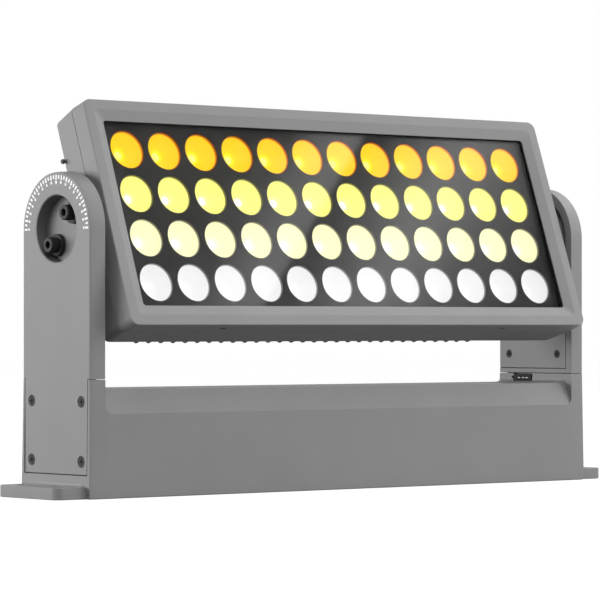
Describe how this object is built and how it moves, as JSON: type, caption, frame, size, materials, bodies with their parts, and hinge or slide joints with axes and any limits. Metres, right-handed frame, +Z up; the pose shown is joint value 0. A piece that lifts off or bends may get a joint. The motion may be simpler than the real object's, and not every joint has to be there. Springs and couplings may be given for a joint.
{
  "type": "led wash light",
  "caption": "Outdoor architectural LED wash light: a flat lens panel in a metal head that tilts between two arms on a driver base with anchor feet.",
  "frame": {"origin": "on the floor, under the middle of the tilt axis, at the base's underside", "axes": "+X along the base to the right seen from the front, +Y to the back, +Z up; the light shines towards -Y"},
  "size_m": [0.633, 0.147, 0.3351],
  "materials": {
    "grey_coat": "powder-coated casting, satin grey",
    "bare_aluminium": "bare, satin",
    "black_plastic": "moulded, matt",
    "black_steel": "black oxide",
    "steel": "bare spring steel",
    "rubber": "matt",
    "matt_black": "matt",
    "window_glass": "clear toughened",
    "circuit_white": "white solder mask on a metal core",
    "circuit_green": "green solder mask",
    "bush_plastic": "bearing plastic",
    "lens_amber": "clear moulding seen lit amber",
    "lens_yellow": "clear moulding seen lit pale yellow",
    "lens_warm": "clear moulding seen lit warm white",
    "lens_white": "clear moulding seen lit white"
  },
  "bodies": {
    "base": {"base_housing": "grey_coat", "base_bottom_plate": "bare_aluminium", "base_gasket": "rubber", "power_supply": "bare_aluminium", "driver_board": "circuit_green", "control_board": "circuit_green", "power_gland": "black_plastic", "data_gland_in": "black_plastic", "data_gland_out": "black_plastic", "base_vent": "black_plastic", "service_port": "black_plastic", "arm_left": "grey_coat", "arm_right": "grey_coat", "arm_cover_left": "grey_coat", "arm_cover_right": "grey_coat", "arm_screw_left_1": "black_steel", "arm_screw_left_2": "black_steel", "arm_screw_left_3": "black_steel", "arm_screw_left_4": "black_steel", "arm_screw_right_1": "black_steel", "arm_screw_right_2": "black_steel", "arm_screw_right_3": "black_steel", "arm_screw_right_4": "black_steel", "cover_screw_left_1": "black_steel", "cover_screw_left_2": "black_steel", "cover_screw_left_3": "black_steel", "cover_screw_left_4": "black_steel", "cover_screw_right_1": "black_steel", "cover_screw_right_2": "black_steel", "cover_screw_right_3": "black_steel", "cover_screw_right_4": "black_steel", "pivot_bush_left": "bush_plastic", "pivot_bush_right": "bush_plastic", "hub_cap": "black_plastic", "arm_loom": "rubber"},
    "head": {"front_bezel": "grey_coat", "front_glass": "window_glass", "glass_gasket": "rubber", "aperture_mask": "matt_black", "lens_row_1": "lens_amber", "lens_row_2": "lens_yellow", "lens_row_3": "lens_warm", "lens_row_4": "lens_white", "led_board_1": "circuit_white", "led_board_2": "circuit_white", "led_board_3": "circuit_white", "led_board_4": "circuit_white", "rear_housing": "grey_coat", "body_seal": "rubber", "heatsink": "bare_aluminium", "side_plug": "black_plastic", "trunnion_left": "grey_coat", "trunnion_right": "grey_coat", "clamp_disc": "grey_coat", "retaining_ring": "steel", "lock_washer_front": "black_steel", "lock_washer_rear": "black_steel"},
    "lock_front": {"lock_screw_front": "black_steel"},
    "lock_rear": {"lock_screw_rear": "black_steel"}
  },
  "joints": [
    {"name": "head_tilt", "type": "hinge", "parent": "base", "child": "head", "pos_m": [0, 0, 0.22533], "axis": [1, 0, 0], "range_deg": [-70, 110]},
    {"name": "lock_front_turn", "type": "hinge", "parent": "head", "child": "lock_front", "pos_m": [-0.2785, -0.01125, 0.23874], "axis": [-1, 0, 0], "range_deg": [0, 180]},
    {"name": "lock_rear_turn", "type": "hinge", "parent": "head", "child": "lock_rear", "pos_m": [-0.2785, 0.01125, 0.21193], "axis": [-1, 0, 0], "range_deg": [0, 180]}
  ]
}
